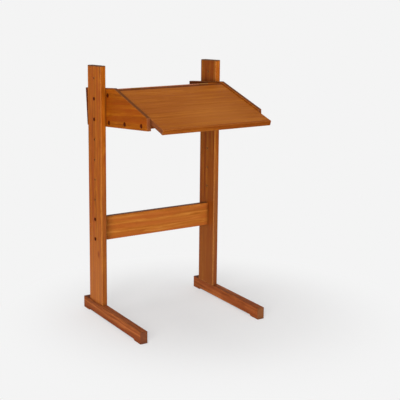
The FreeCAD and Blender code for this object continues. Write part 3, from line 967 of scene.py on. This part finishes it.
def cheek_fixings(node_name, side, fitting):
    """The upper screw and the row of bottom screws of one cheek."""
    low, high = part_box(node_name)
    face = low.x if side < 0 else high.x
    across = RIGHT * (face - side * CUP_HEIGHT * MM)
    upper = across + on_unit(SCREWS_FORWARD, UPPER_SCREW_HEIGHT)
    lower = across + on_unit(SCREWS_FORWARD, BOTTOM_SCREW_HEIGHT)
    step = unit_forward * BOTTOM_SCREW_PITCH * MM
    return [
        set_row(fitting, 1, upper, step, RIGHT * side, browned_steel),
        set_row(fitting, BOTTOM_SCREWS, lower, step, RIGHT * side, browned_steel),
    ]


def nut_pair(node_name):
    """The two barrel nuts of one CAD node, slotted ends flush with the crossbar's rear face."""
    low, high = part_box(node_name)
    start = Vector(((low.x + high.x) / 2, high.y, low.z + NUT_RADIUS * MM))
    step = Vector((0, 0, high.z - low.z - 2 * NUT_RADIUS * MM))
    return set_row(nut_template, 2, start, step, BACK, zinc_steel)


def leaf_screws(node_name, side):
    """The screws of one hinge leaf: side -1 is the ledge's leaf, +1 the lid's."""
    low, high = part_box(node_name)
    middle = RIGHT * (low.x + high.x) / 2
    face = on_unit(LEAF_FORWARD + side * LEAF_GAP / 2, LEAF_SCREW_HEIGHT)
    start = middle + face - RIGHT * LEAF_SCREW_PITCH * (LEAF_SCREWS - 1) / 2 * MM
    step = RIGHT * LEAF_SCREW_PITCH * MM
    return set_row(leaf_screw_template, LEAF_SCREWS, start, step, -unit_forward * side, screw_brass)


for hand, side in (("left", -1), ("right", 1)):
    for kind in ("crossbar_bolts_", "height_bolts_"):
        node_name = kind + hand
        piece_from("browned_" + node_name, [bolt_pair(node_name, side)], "stand", "dark_bronze", node_name)
    node_name = "cheek_screws_" + hand
    screws = cheek_fixings(node_name, side, screw_template)
    cups = cheek_fixings(node_name, side, cup_template)
    piece_from("slotted_" + node_name, screws, "stand", "dark_bronze", node_name)
    piece_from("cup_washers_" + hand, cups, "stand", "dark_bronze")
    node_name = "crossbar_barrel_nuts_" + hand
    piece_from("slotted_" + node_name, [nut_pair(node_name)], "stand", "zinc_steel", node_name)

for leaf, body, side in (("ledge", "stand", -1), ("lid", "lid", 1)):
    meshes = [leaf_screws("hinge_" + leaf + "_leaf_" + hand, side) for hand in ("left", "right")]
    piece_from("brass_" + leaf + "_hinge_screws", meshes, body, "brass")

for template in (bolt_template, cup_template, screw_template, nut_template, leaf_screw_template):
    bpy.data.objects.remove(template)


# ---------------------------------------------------------------- studio, in metres

# The camera, as degrees round the desk and above it
CAMERA_AZIMUTH = math.radians(30.03)
CAMERA_ELEVATION = math.radians(11.06)
CAMERA_ROLL = math.radians(0.19)
CAMERA_DISTANCE = 4.8216
CAMERA_AIM_RIGHT = -0.0121
CAMERA_AIM_HEIGHT = 0.7658
CAMERA_LENS = 86.904
CAMERA_SENSOR = 36.0
CAMERA_SHIFT = 0.1

# The paper's tones for the lamps and for the camera, and its glow for the camera: this share of the glow
# near the desk's feet, and all of it further away
PAPER_FOR_LAMPS = "DCDCDC"
PAPER_SEEN = "F0F0F0"
PAPER_GLOW = "F4F4F4"
LIFT_NEAR = 0.5
SHADOW_MIDDLE = (0.15, 0.0, 0.0)
SHADOW_ROOM = (0.38, 1.05)

# The paper sweep's floor, bend and wall
PAPER_HALF_WIDTH = 9.0
PAPER_FRONT = -7.0
BEND_START = 2.6
BEND_RADIUS = 1.8
BEND_STEPS = 24
WALL_TOP = 6.0

# Soft lights: degrees from the front to the left, degrees up, distance, side and watts
LAMP_AIM = Vector((0, 0, 0.75))
SOFTBOXES = {
    "key_softbox": (44, 9, 6.5, 3.2, 400),
    "fill_softbox": (-10, 12, 6.0, 2.6, 30),
    "overhead_softbox": (0, 86, 3.0, 2.4, 54),
    "rear_softbox": (-158, 8, 5.0, 2.6, 90),
}
AIR_TONE = "F2F2F2"
AIR_STRENGTH = 0.28


def seen_or_mirrored(tree):
    """1 where the camera sees the surface, directly, in a reflection or through glass."""
    ray = add_node(tree, "ShaderNodeLightPath", {}).outputs
    seen = add_node(
        tree, "ShaderNodeMath", {"operation": "MAXIMUM"}, {0: ray["Is Camera Ray"], 1: ray["Is Glossy Ray"]}
    ).outputs["Value"]
    return add_node(
        tree, "ShaderNodeMath", {"operation": "MAXIMUM"}, {0: seen, 1: ray["Is Transmission Ray"]}
    ).outputs["Value"]


def background_paper():
    """Matt pale paper. For the camera and mirrors a glow evens it out, fully so away from the desk, and
    the desk's own soft shadow stays on the floor round its feet. What it throws back on the desk is the
    light of plain greyer paper."""
    material = new_material("matt_background_paper")
    tree = material.node_tree
    seen = seen_or_mirrored(tree)
    away = add_node(
        tree, "ShaderNodeMapRange",
        {"interpolation_type": "SMOOTHSTEP", "From Min": SHADOW_ROOM[0], "From Max": SHADOW_ROOM[1],
         "To Min": LIFT_NEAR},
        {"Value": distance_from(tree, SHADOW_MIDDLE)},
    )
    tone = add_node(
        tree, "ShaderNodeMix",
        {"data_type": "RGBA", "blend_type": "MIX", 6: colour(PAPER_FOR_LAMPS), 7: colour(PAPER_SEEN)},
        {0: seen},
    )
    paper = add_node(tree, "ShaderNodeBsdfDiffuse", {}, {"Color": tone.outputs[2]})
    glow = add_node(tree, "ShaderNodeEmission", {"Color": colour(PAPER_GLOW), "Strength": 1.0})
    lift = add_node(tree, "ShaderNodeMath", {"operation": "MULTIPLY"}, {0: seen, 1: away.outputs["Result"]})
    both = add_node(
        tree, "ShaderNodeMixShader", {},
        {"Fac": lift.outputs["Value"], 1: paper.outputs["BSDF"], 2: glow.outputs["Emission"]},
    )
    add_node(tree, "ShaderNodeOutputMaterial", {}, {"Surface": both.outputs["Shader"]})
    return material


def paper_sweep():
    """A roll of pale paper: floor, a wide bend and a back wall in one sheet."""
    line = [(PAPER_FRONT, 0.0), (BEND_START, 0.0)]
    for step in range(1, BEND_STEPS + 1):
        turn = math.pi / 2 * step / BEND_STEPS
        line.append((BEND_START + BEND_RADIUS * math.sin(turn), BEND_RADIUS - BEND_RADIUS * math.cos(turn)))
    line.append((BEND_START + BEND_RADIUS, WALL_TOP))
    shape = bmesh.new()
    edges = [[shape.verts.new((x, y, z)) for x in (-PAPER_HALF_WIDTH, PAPER_HALF_WIDTH)] for y, z in line]
    for near, far in zip(edges, edges[1:]):
        shape.faces.new((near[0], near[1], far[1], far[0]))
    sheet = made_of(shape, "paper_sweep")
    sheet.data.shade_smooth()
    sheet.rotation_euler = (0, 0, -CAMERA_AZIMUTH)
    sheet.data.materials.append(background_paper())


def softbox(name, azimuth, elevation, distance, size, power):
    """A square soft light aimed at the desk's middle."""
    azimuth = math.radians(azimuth)
    elevation = math.radians(elevation)
    way = Vector((
        -math.sin(azimuth) * math.cos(elevation),
        -math.cos(azimuth) * math.cos(elevation),
        math.sin(elevation),
    ))
    lamp = bpy.data.lights.new(name, "AREA")
    lamp.shape = "SQUARE"
    lamp.size = size
    lamp.energy = power
    thing = bpy.data.objects.new(name, lamp)
    thing.location = LAMP_AIM + way * distance
    thing.rotation_euler = way.to_track_quat("Z", "Y").to_euler()
    bpy.context.scene.collection.objects.link(thing)


def studio_air():
    """Even light from all round, and plain white where the camera or a mirror looks past the paper."""
    world = bpy.data.worlds.new("studio_air")
    bpy.context.scene.world = world
    world.use_nodes = True
    tree = world.node_tree
    tree.nodes.clear()
    air = add_node(tree, "ShaderNodeBackground", {"Color": colour(AIR_TONE), "Strength": AIR_STRENGTH})
    seen_air = add_node(tree, "ShaderNodeBackground", {"Color": colour(PAPER_GLOW), "Strength": 1.0})
    both = add_node(
        tree, "ShaderNodeMixShader", {},
        {"Fac": seen_or_mirrored(tree), 1: air.outputs["Background"], 2: seen_air.outputs["Background"]},
    )
    add_node(tree, "ShaderNodeOutputWorld", {}, {"Surface": both.outputs["Shader"]})


def camera():
    """The camera looks down on the desk from its front left."""
    forward = Vector((
        math.sin(CAMERA_AZIMUTH) * math.cos(CAMERA_ELEVATION),
        math.cos(CAMERA_AZIMUTH) * math.cos(CAMERA_ELEVATION),
        -math.sin(CAMERA_ELEVATION),
    ))
    level = Vector((math.cos(CAMERA_AZIMUTH), -math.sin(CAMERA_AZIMUTH), 0))
    upright = level.cross(forward)
    side = level * math.cos(CAMERA_ROLL) + upright * math.sin(CAMERA_ROLL)
    top = upright * math.cos(CAMERA_ROLL) - level * math.sin(CAMERA_ROLL)
    low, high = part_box("left_post")
    aim = Vector((CAMERA_AIM_RIGHT, low.y, CAMERA_AIM_HEIGHT))
    lens = bpy.data.cameras.new("camera")
    lens.sensor_width = CAMERA_SENSOR
    lens.lens = CAMERA_LENS
    lens.shift_x = CAMERA_SHIFT
    lens.shift_y = -CAMERA_SHIFT
    thing = bpy.data.objects.new("camera", lens)
    turn = Matrix((side, top, -forward)).transposed()
    thing.matrix_world = Matrix.Translation(aim - forward * CAMERA_DISTANCE) @ turn.to_4x4()
    bpy.context.scene.collection.objects.link(thing)
    bpy.context.scene.camera = thing


paper_sweep()
for name, setting in SOFTBOXES.items():
    softbox(name, *setting)
studio_air()
camera()
bpy.context.scene.view_settings.view_transform = "Standard"
